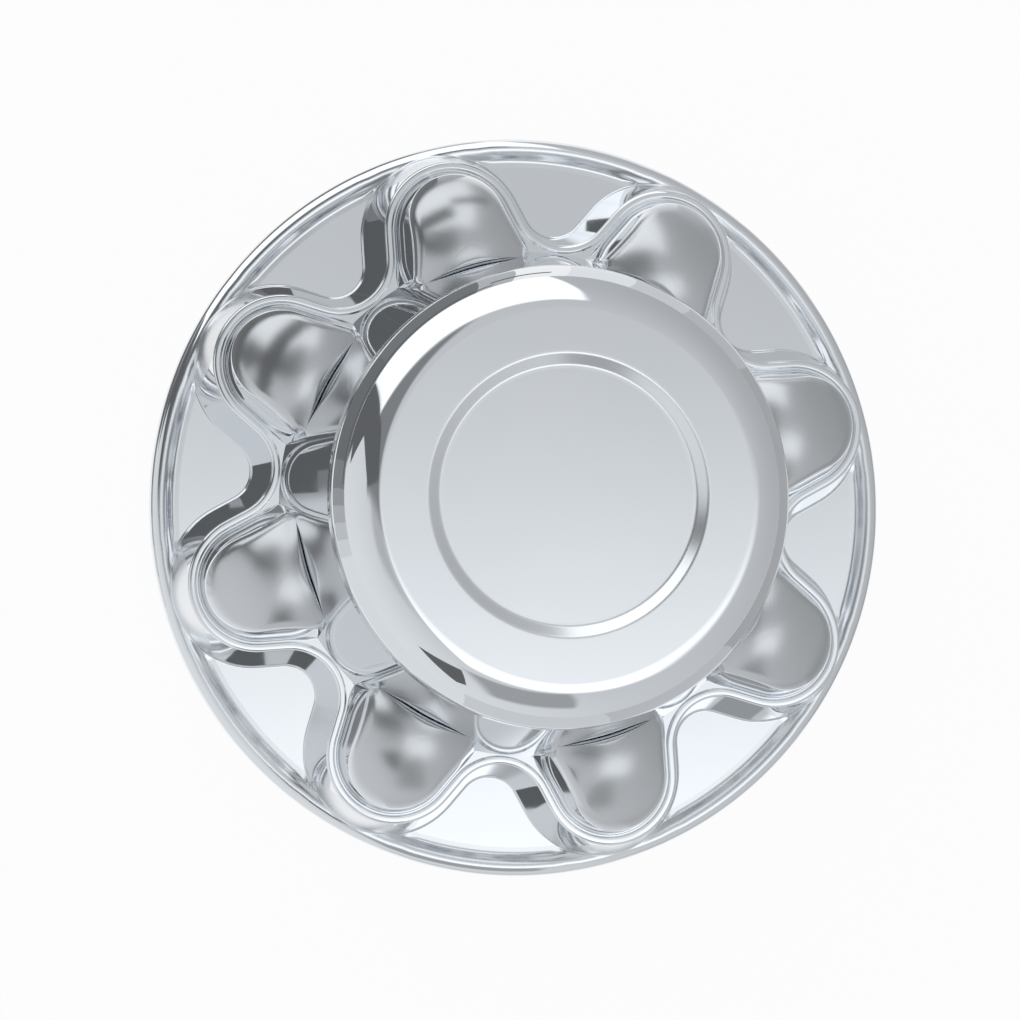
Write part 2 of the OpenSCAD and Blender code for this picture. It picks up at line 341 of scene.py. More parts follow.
class HubCoverStudio(bpy.types.PropertyGroup):
    """Floor, light and camera"""

    floor_colour: bpy.props.FloatVectorProperty(
        name="Floor colour", description="Colour of the floor",
        default=(0.95, 0.95, 0.95), subtype="COLOR", size=3, min=0, max=1)
    floor_size: bpy.props.FloatProperty(
        name="Floor size", description="Side of the square floor",
        default=6.0, unit="LENGTH")
    floor_glow: bpy.props.FloatProperty(
        name="Floor glow", description="Share of the floor's brightness that no shadow dims",
        default=0.94, min=0, max=1, subtype="FACTOR")
    light_level: bpy.props.FloatProperty(
        name="Light level", description="Brightness of the world overhead",
        default=0.64, min=0)
    light_slope: bpy.props.FloatProperty(
        name="Light slope", description="How much brighter the world is on its brighter side",
        default=0.18, min=0)
    light_colour: bpy.props.FloatVectorProperty(
        name="Light colour", description="Colour of the world's light",
        default=(0.97, 1.0, 1.03), subtype="COLOR", size=3, min=0, max=2)
    key_level: bpy.props.FloatProperty(
        name="Key level", description="Brightness of the soft patch overhead",
        default=1.3, min=0)
    side_level: bpy.props.FloatProperty(
        name="Side level", description="Brightness of the large patch at the side",
        default=1.25, min=0)
    dark_level: bpy.props.FloatProperty(
        name="Dark level", description="Brightness of the dark patches",
        default=0.13, min=0)
    shade_level: bpy.props.FloatProperty(
        name="Shade level", description="Brightness of the shaded patch overhead",
        default=0.24, min=0)
    half_shade_level: bpy.props.FloatProperty(
        name="Half shade level", description="Brightness of the half shade left of the axis",
        default=0.5, min=0)
    strip_level: bpy.props.FloatProperty(
        name="Strip level", description="Brightness of the dim strip below the soft patch",
        default=0.38, min=0)
    lens: bpy.props.FloatProperty(
        name="Lens", description="Focal length on a 36 mm sensor, in millimetres",
        default=101.0)
    camera_place: bpy.props.FloatVectorProperty(
        name="Camera place", description="Where the camera stands",
        default=(-146.55 * MM, 8.88 * MM, 843.62 * MM), unit="LENGTH", size=3)
    camera_turn: bpy.props.FloatVectorProperty(
        name="Camera turn", description="How the camera is turned",
        default=(math.radians(2.113), math.radians(-9.512), math.radians(-16.246)),
        subtype="EULER", size=3)


def unit(vectors):
    """The vectors, scaled to length one; vectors of no length stay as they are."""
    return vectors / np.maximum(np.linalg.norm(vectors, axis=-1, keepdims=True), TINY)


def lifted(plan, height):
    """Flat points raised to a height, one for all of them or one for each."""
    return np.column_stack([plan, np.broadcast_to(height, len(plan))])


def turned(plan, angle):
    """Flat points turned round the axle line."""
    cosine, sine = math.cos(angle), math.sin(angle)
    return plan @ np.array([[cosine, sine], [-sine, cosine]])


def all_round(plan):
    """One lug's share of an outline, repeated for every lug."""
    return np.concatenate([turned(plan, index * LUG_STEP) for index in range(LUG_COUNT)])


def directions(angles):
    """Flat unit vectors at the given angles."""
    return np.column_stack([np.cos(angles), np.sin(angles)])


def rounded_path(corners, radii):
    """A flat path whose inner corners are replaced by arcs of the given radii."""
    corners = np.array(corners)
    path = [corners[0]]
    for before, corner, after, radius in zip(corners, corners[1:], corners[2:], radii):
        back, ahead = unit(before - corner), unit(after - corner)
        half = math.acos(np.clip(back @ ahead, -1, 1)) / 2
        centre = corner + unit(back + ahead) * radius / math.sin(half)
        first = corner + back * radius / math.tan(half) - centre
        last = corner + ahead * radius / math.tan(half) - centre
        span = math.pi - 2 * half
        steps = math.ceil(max(span / ARC_TURN, span * radius / ARC_LENGTH))
        path += [
            centre + (first * math.sin(span - turn) + last * math.sin(turn)) / math.sin(span)
            for turn in np.linspace(0, span, steps + 1)]
    path.append(corners[-1])
    return np.array(path)


def bordered(path):
    """The path with a point close to each end of its long stretches, which keeps them flat."""
    points = [path[0]]
    for before, after in zip(path, path[1:]):
        length = np.linalg.norm(after - before)
        if length > LONG_STRETCH:
            shares = (BORDER / length, 1 - BORDER / length)
            points += [before + (after - before) * share for share in shares]
        points.append(after)
    return np.array(points)


def bend(first, control, last, steps=ROUND_STEPS):
    """Rows of points that curve from first to last, and start and end towards control."""
    back, ahead = unit(first - control), unit(last - control)
    cosine = np.sum(back * ahead, axis=1, keepdims=True)
    weight = np.sqrt(np.clip((1 - cosine) / 2, 0, 1))
    rows = []
    for share in np.linspace(0, 1, steps + 1):
        pull = 2 * share * (1 - share) * weight
        ends = (1 - share) ** 2 * first + share ** 2 * last
        rows.append((ends + pull * control) / ((1 - share) ** 2 + pull + share ** 2))
    return rows


def between(first, last, shares):
    """Rows of points on straight lines from first to last."""
    return [first + (last - first) * share for share in shares]


def crossing(gap, low, high):
    """For each column, where gap changes from negative at low to positive at high."""
    for _ in range(SEARCH_STEPS):
        middle = (low + high) / 2
        below = gap(middle) < 0
        low, high = np.where(below, middle, low), np.where(below, high, middle)
    return (low + high) / 2


def shelf_height(form):
    """Height of the flat shelf inside the lip."""
    return form.lip_height - form.lip_step


def side_angle(form):
    """Direction, seen from a lug, of the point where the round boss runs into a straight side."""
    centre = form.valley_centre * directions(np.array([LUG_STEP / 2]))[0]
    across = centre - np.array([LUG_RADIUS, 0])
    reach = (form.boss_radius + form.valley_radius) / np.linalg.norm(across)
    return math.atan2(across[1], across[0]) - math.acos(reach)


def lip_outline(form):
    """The lip's outer edge all the way round, and its outward directions."""
    side = side_angle(form)
    lug = np.array([LUG_RADIUS, 0])
    valley = form.valley_centre * directions(np.array([LUG_STEP / 2]))[0]
    boss_facing = directions(np.linspace(0, side, BOSS_STEPS + 1))
    valley_facing = directions(np.linspace(side, LUG_STEP / 2, VALLEY_STEPS + 1))
    boss = lug + form.boss_radius * boss_facing
    hollow = valley - form.valley_radius * valley_facing
    shares = np.arange(1, SIDE_STEPS)[:, None] / SIDE_STEPS
    straight = boss[-1] + (hollow[0] - boss[-1]) * shares
    half = np.concatenate([boss, straight, hollow])
    straight_facing = np.repeat(boss_facing[-1:], len(straight), 0)
    facing = np.concatenate([boss_facing, straight_facing, valley_facing])
    mirror = np.array([1, -1])
    share_of_lug = np.concatenate([(half * mirror)[:0:-1], half[:-1]])
    facing_of_lug = np.concatenate([(facing * mirror)[:0:-1], facing[:-1]])
    return all_round(share_of_lug), all_round(facing_of_lug)


def rim_height(form, radius):
    """Height of the floor, or of the bead where it stands above the floor."""
    centre_radius = RIM_RADIUS - form.bead_radius
    centre_height = form.bead_height - form.bead_radius
    fall = np.clip(form.bead_radius ** 2 - (radius - centre_radius) ** 2, 0, None)
    bead = centre_height + np.sqrt(fall)
    return np.maximum(form.floor_height, np.where(fall > 0, bead, form.floor_height))


def lip_rows(form, outline, facing):
    """The step inside the lip, the lip's crest and the first stretch of its wall."""
    slope = math.tan(form.wall_draft)
    shelf = shelf_height(form)
    start = -form.lip_width - form.groove_fillet - BORDER
    end_height = shelf - form.lip_step
    path = rounded_path(
        [[start, shelf],
         [-form.lip_width, shelf],
         [-form.lip_width, form.lip_height],
         [0, form.lip_height],
         [(form.lip_height - end_height) * slope, end_height]],
        [form.groove_fillet, form.lip_inner_round, form.lip_outer_round])
    return [lifted(outline + facing * growth, height) for growth, height in bordered(path)]


def rim_rows(form, foot):
    """From the wall's foot over the floor and the bead and down the rim's outer wall."""
    centre_radius = RIM_RADIUS - form.bead_radius
    centre_height = form.bead_height - form.bead_radius
    inner_turn = math.pi - math.asin((form.floor_height - centre_height) / form.bead_radius)
    bead_foot = centre_radius + form.bead_radius * math.cos(inner_turn)
    radius = np.linalg.norm(foot[:, :2], axis=1)
    facing = foot[:, :2] / radius[:, None]
    fillet = np.clip((bead_foot - radius) / FILLET_PARTS, 0, form.bead_foot_fillet)
    on_bead = np.arccos(np.clip((radius - centre_radius) / form.bead_radius, -1, 1))
    turn = np.where(radius < bead_foot, inner_turn - fillet / form.bead_radius, on_bead)

    def ring(ring_radius, height):
        return lifted(facing * np.broadcast_to(ring_radius, len(facing))[:, None], height)

    def bead(angle):
        return ring(
            centre_radius + form.bead_radius * np.cos(angle),
            centre_height + form.bead_radius * np.sin(angle))

    floor_end = np.maximum(radius, bead_foot - fillet)
    rows = [
        ring(np.minimum(floor_end, radius + BORDER), foot[:, 2]),
        ring(np.maximum(radius, floor_end - BORDER), foot[:, 2])]
    floor_rim = ring(floor_end, foot[:, 2])
    corner = ring(np.maximum(radius, bead_foot), foot[:, 2])
    rows += bend(floor_rim, corner, bead(turn))
    rows += [bead(turn * share) for share in np.linspace(1, 0, BEAD_STEPS + 1)[1:]]
    edge = form.rim_edge_round
    path = rounded_path(
        [[RIM_RADIUS, centre_height], [RIM_RADIUS, 0], [RIM_RADIUS - 2 * edge, 0]], [edge])
    return rows + [ring(step_radius, height) for step_radius, height in bordered(path)[1:]]


def wall_rows(form, outline, facing):
    """The scalloped wall and its fillet, from the lip down to the floor or the bead."""
    slope = math.tan(form.wall_draft)

    def on_wall(height):
        growth = (form.lip_height - height) * slope
        return lifted(outline + facing * growth[:, None], height)

    def gap(height):
        return height - rim_height(form, np.linalg.norm(on_wall(height)[:, :2], axis=1))

    low = np.full(len(outline), form.floor_height - BORDER)
    high = np.full(len(outline), form.bead_height + BORDER)
    foot_height = crossing(gap, low, high)
    foot = on_wall(foot_height)
    reach = form.wall_foot_fillet
    above = on_wall(foot_height + reach * math.cos(form.wall_draft))
    beyond = foot[:, :2] + facing * reach
    beyond = lifted(beyond, rim_height(form, np.linalg.norm(beyond, axis=1)))
    top = on_wall(np.full(len(outline), form.lip_height - 2 * form.lip_step - BORDER))
    border = on_wall(foot_height + reach * math.cos(form.wall_draft) + BORDER)
    rows = between(top, border, np.linspace(0, 1, WALL_STEPS + 1))
    return rows + bend(above, foot, beyond), beyond


def skin(name, rows):
    """A grid whose rows of vertices stand on the given rows of points and end where they began."""
    rows = np.array(rows)
    rows = np.concatenate([rows, rows[:, :1]], axis=1)
    row_count, column_count = rows.shape[:2]
    deselect_all()
    bpy.ops.mesh.primitive_grid_add(
        x_subdivisions=column_count - 1, y_subdivisions=row_count - 1, size=1)
    piece = bpy.context.object
    piece.name = name
    piece.data.vertices.foreach_set("co", rows.astype(np.float32).ravel())
    piece.data.update()
    return piece


def deselect_all():
    """Nothing is selected and no mesh is being edited."""
    if bpy.context.object and bpy.context.object.mode != "OBJECT":
        bpy.ops.object.mode_set(mode="OBJECT")
    bpy.ops.object.select_all(action="DESELECT")


def edit(piece, kind="VERT"):
    """The piece alone is open in edit mode, with nothing of it selected."""
    deselect_all()
    piece.select_set(True)
    bpy.context.view_layer.objects.active = piece
    bpy.ops.object.mode_set(mode="EDIT")
    bpy.ops.mesh.select_mode(type=kind)
    bpy.ops.mesh.select_all(action="DESELECT")


def select_edges(piece, wanted):
    """Selects the open edges, in edit mode, whose two ends are wanted by their place."""
    mesh = bmesh.from_edit_mesh(piece.data)
    for edge in mesh.edges:
        if edge.is_boundary and all(wanted(vertex.co) for vertex in edge.verts):
            edge.select_set(True)
    bmesh.update_edit_mesh(piece.data)


def join(pieces):
    """The pieces as one mesh, with the vertices merged where they meet."""
    deselect_all()
    for piece in pieces:
        piece.select_set(True)
    bpy.context.view_layer.objects.active = pieces[0]
    bpy.ops.object.join()
    edit(pieces[0])
    bpy.ops.mesh.select_all(action="SELECT")
    bpy.ops.mesh.remove_doubles(threshold=MERGE_DISTANCE)
    bpy.ops.object.mode_set(mode="OBJECT")
    return pieces[0]


def scallop_band(form):
    """Lip, scalloped wall, floors, bead and outer wall as one band round the cover."""
    outline, facing = lip_outline(form)
    wall, foot = wall_rows(form, outline, facing)
    return skin("scallop_band", lip_rows(form, outline, facing) + wall + rim_rows(form, foot))


def hub_path(form, hub):
    """The hub's profile from the skirt's foot to the floor of the disc recess."""
    recess_floor = COVER_HEIGHT - hub.recess_depth
    inner = hub.recess_radius - hub.recess_step
    return bordered(rounded_path(
        [[hub.foot_radius, shelf_height(form)],
         [hub.wall_radius, hub.skirt_height],
         [hub.wall_radius, COVER_HEIGHT],
         [hub.recess_radius, COVER_HEIGHT],
         [inner, recess_floor],
         [inner - 2 * hub.recess_step, recess_floor]],
        [hub.crease_round, hub.edge_round, hub.recess_round, hub.recess_round]))


def skirt_radius(form, hub, height):
    """Radius of the hub's conical skirt at a height."""
    shelf = shelf_height(form)
    share = (height - shelf) / (hub.skirt_height - shelf)
    return hub.foot_radius + (hub.wall_radius - hub.foot_radius) * share


def skirt_foot(form, hub, dome_foot):
    """Where the skirt starts all the way round: behind the domes, and on the shelf between them."""
    mirror = np.array([1, -1, 1])
    first = math.atan2(dome_foot[0, 1], dome_foot[0, 0])
    ease = np.linspace(-1, 1, GAP_STEPS + 1)[1:-1]
    middle = LUG_STEP / 2
    turns = middle + (middle - first) * (ease + np.sin(math.pi * ease) / (2 * math.pi))
    gap = lifted(hub.foot_radius * directions(turns), shelf_height(form))
    share_of_lug = np.concatenate([dome_foot * mirror, dome_foot[-2::-1], gap])
    heights = np.tile(share_of_lug[:, 2], LUG_COUNT)
    return lifted(all_round(share_of_lug[:, :2]), heights)


def hub_surface(form, hub, dome_foot):
    """The hub: a conical skirt, drawn up over the wall and the edge to the floor of the recess."""
    path = hub_path(form, hub)[1:]
    foot = skirt_foot(form, hub, dome_foot)
    rim = lifted(path[0, 0] * unit(foot[:, :2]), path[0, 1])
    near_rim = lifted(path[1, 0] * unit(foot[:, :2]), path[1, 1])
    rows = [foot] + between(foot, rim, [BORDER / hub.skirt_height])
    rows += between(foot, near_rim, np.linspace(0, 1, SKIRT_STEPS + 1)[1:])
    piece = skin("hub_surface", rows)
    path = path[1:]
    edit(piece, "EDGE")
    select_edges(piece, lambda place: abs(place.z - path[0, 1]) < MERGE_DISTANCE)
    for before, after in zip(path, path[1:]):
        rise = (0, 0, after[1] - before[1])
        growth = after[0] / before[0]
        bpy.ops.mesh.extrude_edges_move(TRANSFORM_OT_translate={"value": rise})
        bpy.ops.transform.resize(value=(growth, growth, 1), center_override=(0, 0, 0))
    bpy.ops.mesh.edge_face_add()
    bpy.ops.object.mode_set(mode="OBJECT")
    return piece


def dome_outline(form, domes, height):
    """Half of the first dome's outline at a height, and its outward directions.

    It runs in fine steps round the nose, along the straight side, round the corner and along
    the end towards the hub.
    """
    side = side_angle(form)
    rise = height - shelf_height(form)
    nose = form.boss_radius - form.lip_width - form.groove_width - rise * math.tan(domes.draft)
    corner = domes.corner_radius
    lug = np.array([LUG_RADIUS, 0])
    facing = directions(np.array([side]))[0]
    along = np.array([-facing[1], facing[0]])
    start = lug + (nose - corner) * facing
    reach = domes.inner_radius + corner
    run = -start @ along - math.sqrt((start @ along) ** 2 - start @ start + reach ** 2)
    centre = start + run * along
    centre_turn = math.atan2(centre[1], centre[0])
    nose_facing = directions(np.linspace(0, side, FINE_STEPS + 1))
    corner_facing = directions(np.linspace(side, math.pi + centre_turn, FINE_STEPS + 1))
    inner_facing = -directions(np.linspace(centre_turn, 0, FINE_STEPS + 1)[1:])
    nose_arc = lug + nose * nose_facing
    corner_arc = centre + corner * corner_facing
    shares = np.arange(1, FINE_STEPS)[:, None] / FINE_STEPS
    flank = nose_arc[-1] + (corner_arc[0] - nose_arc[-1]) * shares
    flank_facing = np.repeat(facing[None], len(flank), 0)
    return (
        np.concatenate([nose_arc, flank, corner_arc, -domes.inner_radius * inner_facing]),
        np.concatenate([nose_facing, flank_facing, corner_facing, inner_facing]))


def picked(places, values):
    """Values at fractional places between the fine steps."""
    steps = np.arange(len(values))
    return np.column_stack([np.interp(places, steps, column) for column in values.T])


def rise_from_skirt(form, hub, foot, wall):
    """How far up its wall each column of a dome starts, which is where it leaves the skirt."""
    def gap(run):
        points = foot + wall * run[:, None]
        return np.linalg.norm(points[:, :2], axis=1) - skirt_radius(form, hub, points[:, 2])

    return crossing(gap, np.zeros(len(foot)), (hub.skirt_height - foot[:, 2]) / wall[:, 2])


def inner_turns(meeting_turn, corner_turn):
    """Directions at which a dome's columns start on the skirt, closer together round the corner."""
    spread = np.linspace(0, 1, INNER_STEPS + 1)[1:]
    fine_turn = (meeting_turn - corner_turn) / CORNER_STEPS
    slowing = corner_turn / (INNER_STEPS * fine_turn)
    return np.concatenate([
        np.linspace(meeting_turn, corner_turn, CORNER_STEPS + 1)[1:],
        corner_turn * (1 - spread / slowing - (1 - 1 / slowing) * spread ** 2)])


def dome_columns(form, domes, hub):
    """Foot, wall direction, outward direction and start of each column up the first dome's half.

    The columns on the shelf come first. From the place where the foot meets the skirt's own foot,
    the columns start on the skirt.
    """
    shelf = shelf_height(form)
    outline, facing = dome_outline(form, domes, shelf)
    foot = lifted(outline, shelf)
    top = lifted(dome_outline(form, domes, domes.summit_height)[0], domes.summit_height)
    wall = unit(top - foot)
    radius = np.linalg.norm(outline, axis=1)
    last = np.argmax(radius < hub.foot_radius)
    meeting = last - (hub.foot_radius - radius[last]) / (radius[last - 1] - radius[last])
    nose = np.linspace(0, FINE_STEPS, NOSE_STEPS + 1)[:-1]
    flank = FINE_STEPS + (meeting - FINE_STEPS) * np.array(FLANK_SHARES)
    steps = np.arange(last, len(foot))
    run = rise_from_skirt(form, hub, foot[steps], wall[steps])
    start = foot[steps] + wall[steps] * run[:, None]
    turn = np.arctan2(start[:, 1], start[:, 0])
    corner_end = 3 * FINE_STEPS
    corner_turn = turn[np.searchsorted(steps, corner_end)]
    meeting_turn = math.atan2(*picked([meeting], outline)[0][::-1])
    on_skirt = np.interp(-inner_turns(meeting_turn, corner_turn), -turn, steps)
    places = np.concatenate([nose, flank, on_skirt])
    foot, facing, wall = (picked(places, values) for values in (foot, facing, wall))
    wall = unit(wall)
    shelf_columns = len(nose) + len(flank)
    run = np.zeros(len(places))
    run[shelf_columns:] = rise_from_skirt(form, hub, foot[shelf_columns:], wall[shelf_columns:])
    return foot, wall, unit(facing), run


def crown_height(domes, plan):
    """Height of the dome's crown over flat points, and the crown's slope there."""
    away = plan - np.array([domes.summit_radius, 0])
    share = np.array([1, domes.crown_flatness])
    depth = domes.crown_radius ** 2 - np.sum(share * away ** 2, axis=1)
    depth = np.sqrt(np.clip(depth, TINY, None))
    return domes.summit_height - domes.crown_radius + depth, -share * away / depth[:, None]


def crown_points(domes, plan):
    """Flat points raised onto the crown."""
    return lifted(plan, crown_height(domes, plan)[0])


def crown_run(domes, foot, wall):
    """How far up its wall each column of a dome meets the crown."""
    def gap(length):
        points = foot + wall * length[:, None]
        return points[:, 2] - crown_height(domes, points[:, :2])[0]

    return crossing(gap, np.zeros(len(foot)), (domes.summit_height - foot[:, 2]) / wall[:, 2])


def dome_fillet(form, domes, hub, foot, meeting, room):
    """How far the fillet at each column's foot reaches, and the share of its border.

    Both shrink to nothing where the dome's foot, the shelf and the skirt meet.
    """
    radius = np.linalg.norm(foot[:, :2], axis=1)
    share = np.clip((radius - hub.foot_radius) / domes.corner_radius, 0, 1)
    behind = LUG_RADIUS - form.groove_width * GROWTH_START - foot[:, 0]
    free = np.clip(behind / domes.corner_radius, 0, 1)
    reach = share * (form.groove_fillet + (domes.foot_fillet - form.groove_fillet) * free)
    growth = np.clip(np.arange(len(foot) - meeting) / CORNER_STEPS, 0, 1)
    reach[meeting:] = growth * np.minimum(domes.skirt_fillet, room[meeting:] / FILLET_PARTS)
    share[meeting:] = growth
    return reach, share


def dome_shoulder(domes, foot, wall, facing, edge, room):
    """Where the rounding over each column leaves the wall, turns and reaches the crown."""
    over = np.where(facing[:, 0] > 0, domes.nose_round, domes.inner_round)
    over = over * facing[:, 0] ** 2 + domes.side_round * facing[:, 1] ** 2
    over = np.minimum(over, ROUNDING_SHARE * room)[:, None]
    summit = np.array([[domes.summit_radius, 0]])
    inside = edge[:, :2] + unit(summit - edge[:, :2]) * over
    crown_edge = crown_points(domes, inside)
    slope = crown_height(domes, inside)[1]
    rise = crown_edge[:, 2] - foot[:, 2] + np.sum(slope * (foot[:, :2] - inside), axis=1)
    length = rise / (wall[:, 2] - np.sum(slope * wall[:, :2], axis=1))
    control = foot + wall * length[:, None]
    return control - wall * over, control, crown_edge


def mirrored(half):
    """Half of a dome's columns, followed by their mirror images."""
    return np.concatenate([half, half[-2:0:-1] * np.array([1, -1, 1])])


def dome_rows(form, domes, hub):
    """The first dome from its foot up its wall and over its crown, and its foot on the skirt."""
    foot, wall, facing, run = dome_columns(form, domes, hub)
    meeting = np.argmax(run > 0) - 1
    edge_run = crown_run(domes, foot, wall)
    edge = foot + wall * edge_run[:, None]
    start = foot + wall * run[:, None]
    room = edge_run - run
    reach, border_share = dome_fillet(form, domes, hub, foot, meeting, room)

    away = lifted(facing, 0)
    drop = (hub.foot_radius - hub.wall_radius) / (hub.skirt_height - shelf_height(form))
    away[meeting:] = unit(lifted(-drop * unit(start[meeting:, :2]), 1))
    near = start + away * reach[:, None]
    edge_foot = near + away * BORDER * border_share[:, None]
    wall_start = start + wall * reach[:, None]
    wall_end, control, crown_edge = dome_shoulder(
        domes, foot, wall, facing, edge, room - reach)
    border = wall * BORDER

    rows = [edge_foot] + bend(near, start, wall_start)
    shares = np.linspace(0, 1, WALL_STEPS + 1)
    rows += between(wall_start + border, wall_end - border, shares)
    rows += bend(wall_end, control, crown_edge, 2 * ROUND_STEPS)
    plan = crown_edge[:, :2]
    summit = np.array([[domes.summit_radius, 0]])
    shares = np.linspace(0, 1, CROWN_STEPS + 1)[1:]
    rows += [crown_points(domes, plan + (summit - plan) * share) for share in shares]
    return [mirrored(row) for row in rows], edge_foot[meeting:]


def lug_domes(rows):
    """One dome, and a copy of it turned to each other lug."""
    first = skin("lug_dome", rows)
    copies = [first]
    for _ in range(1, LUG_COUNT):
        bpy.ops.object.duplicate()
        bpy.ops.transform.rotate(value=LUG_STEP, orient_axis="Z", center_override=(0, 0, 0))
        bpy.ops.object.transform_apply(rotation=True, location=True)
        copies.append(bpy.context.object)
    return copies


def underside():
    """The CAD shell's inner skin: a copy of its mesh without the back face and the outside."""
    source = frame["nodes"][SHELL_NODE]
    piece = bpy.data.objects.new("underside", source.data.copy())
    bpy.context.scene.collection.objects.link(piece)
    edit(piece)
    bpy.ops.mesh.customdata_custom_splitnormals_clear()
    bpy.ops.mesh.select_all(action="SELECT")
    bpy.ops.mesh.remove_doubles(threshold=MERGE_DISTANCE)
    bpy.ops.mesh.select_mode(type="FACE")
    bpy.ops.mesh.select_all(action="DESELECT")
    mesh = bmesh.from_edit_mesh(piece.data)
    for face in mesh.faces:
        face.select_set(all(vertex.co.z < MERGE_DISTANCE for vertex in face.verts))
    bmesh.update_edit_mesh(piece.data)
    bpy.ops.mesh.delete(type="FACE")
    mesh = bmesh.from_edit_mesh(piece.data)
    top = max(mesh.faces, key=lambda face: face.calc_center_median().z)
    top.select_set(True)
    bmesh.update_edit_mesh(piece.data)
    bpy.ops.mesh.select_linked()
    bpy.ops.mesh.delete(type="FACE")
    bpy.ops.mesh.select_all(action="SELECT")
    bpy.ops.mesh.delete_loose()
    bpy.ops.object.mode_set(mode="OBJECT")
    return piece


def fill_shelf(piece, height):
    """Closes the flat shelf between the lip, the domes and the hub."""
    edit(piece, "EDGE")
    select_edges(piece, lambda place: abs(place.z - height) < MERGE_DISTANCE)
    bpy.ops.mesh.fill()
    bpy.ops.object.mode_set(mode="OBJECT")


def close_back(piece):
    """Fills the rim's flat back face between the outside and the underside."""
    edit(piece, "EDGE")
    select_edges(piece, lambda place: place.z < MERGE_DISTANCE)
    bpy.ops.mesh.fill()
    bpy.ops.mesh.select_all(action="SELECT")
    bpy.ops.mesh.normals_make_consistent(inside=False)
    bpy.ops.object.mode_set(mode="OBJECT")


class HUBCOVER_OT_shell(bpy.types.Operator):
    """Models the chromed shell over the CAD solid"""

    bl_idname = "hubcover.shell"
    bl_label = "Chromed shell"
    bl_options = {"REGISTER", "UNDO"}

    def execute(self, context):
        form = context.scene.hub_cover_form
        hub = context.scene.hub_cover_hub
        rows, dome_foot = dome_rows(form, context.scene.hub_cover_domes, hub)
        hub_and_band = [hub_surface(form, hub, dome_foot), scallop_band(form)]
        outside = join(hub_and_band + lug_domes(rows))
        fill_shelf(outside, shelf_height(form))
        shell = join([outside, underside()])
        close_back(shell)
        shell.name = "chrome_shell"
        shell.data.name = "chrome_shell"
        smooth(shell)
        finish = chrome_plating(context.scene.hub_cover_finish)
        shell.data.materials.clear()
        shell.data.materials.append(finish)
        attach(shell, "root")
        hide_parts(SHELL_NODE)
        return {"FINISHED"}


class HUBCOVER_OT_rings(bpy.types.Operator):
    """Gives the spring rings their drawn steel finish"""

    bl_idname = "hubcover.rings"
    bl_label = "Spring rings"
    bl_options = {"REGISTER", "UNDO"}

    def execute(self, context):
        finish = spring_wire(context.scene.hub_cover_finish)
        for name in RING_NODES:
            ring = frame["nodes"][name]
            ring.data.materials.clear()
            ring.data.materials.append(finish)
        return {"FINISHED"}


class HUBCOVER_OT_stage(bpy.types.Operator):
    """Sets up the floor, the light and the camera"""

    bl_idname = "hubcover.stage"
    bl_label = "Studio"
    bl_options = {"REGISTER", "UNDO"}

    def execute(self, context):
        studio = context.scene.hub_cover_studio
        floor(studio)
        floor_cloths(studio)
        dark_cards(studio)
        studio_light(context.scene, studio)
        camera(context.scene, studio)
        context.scene.view_settings.view_transform = "Standard"
        return {"FINISHED"}


class HUBCOVER_PT_panel(bpy.types.Panel):
    """Lists the cover's sizes, finishes and studio, and what builds them"""

    bl_idname = "HUBCOVER_PT_panel"
    bl_label = "Hub cover"
    bl_space_type = "VIEW_3D"
    bl_region_type = "UI"
    bl_category = "Hub cover"

    def draw(self, context):
        for group_name, group in GROUPS.items():
            box = self.layout.box()
            box.label(text=group.__doc__)
            for name in group.__annotations__:
                box.prop(getattr(context.scene, group_name), name)
        for operator in OPERATORS:
            self.layout.operator(operator.bl_idname)


def smooth(piece):
    """Smooth shading, with sharp edges where faces meet at a clear angle."""
    deselect_all()
    piece.select_set(True)
    bpy.context.view_layer.objects.active = piece
    bpy.ops.object.shade_smooth_by_angle(angle=math.radians(SHARP_DEGREES))


def new_material(name):
    """A material with its node tree, its shader and its Object coordinates."""
    material = bpy.data.materials.new(name)
    material.use_nodes = True
    tree = material.node_tree
    shader = tree.nodes["Principled BSDF"]
    coordinates = tree.nodes.new("ShaderNodeTexCoord").outputs["Object"]
    return material, tree, shader, coordinates


def noise(tree, coordinates, scale, detail):
    """A noise pattern of the given scale, in features for each metre."""
    node = tree.nodes.new("ShaderNodeTexNoise")
    node.inputs["Scale"].default_value = scale
    node.inputs["Detail"].default_value = detail
    tree.links.new(coordinates, node.inputs["Vector"])
    return node.outputs["Fac"]


def remap(tree, value, low, high):
    """The pattern's middle range stretched from low to high."""
    node = tree.nodes.new("ShaderNodeMapRange")
    node.inputs["From Min"].default_value = NOISE_LOW
    node.inputs["From Max"].default_value = NOISE_HIGH
    node.inputs["To Min"].default_value = low
    node.inputs["To Max"].default_value = high
    tree.links.new(value, node.inputs["Value"])
    return node.outputs["Result"]


def eased(tree, value, low, high):
    """Rises smoothly from 0 where the value is low to 1 where it is high."""
    node = tree.nodes.new("ShaderNodeMapRange")
    node.interpolation_type = "SMOOTHSTEP"
    node.inputs["From Min"].default_value = low
    node.inputs["From Max"].default_value = high
    tree.links.new(value, node.inputs["Value"])
    return node.outputs["Result"]


def combined(tree, operation, first, second):
    """Two values combined; either may be a plain number."""
    node = tree.nodes.new("ShaderNodeMath")
    node.operation = operation
    for socket, value in zip(node.inputs, (first, second)):
        if isinstance(value, (int, float)):
            socket.default_value = value
        else:
            tree.links.new(value, socket)
    return node.outputs["Value"]


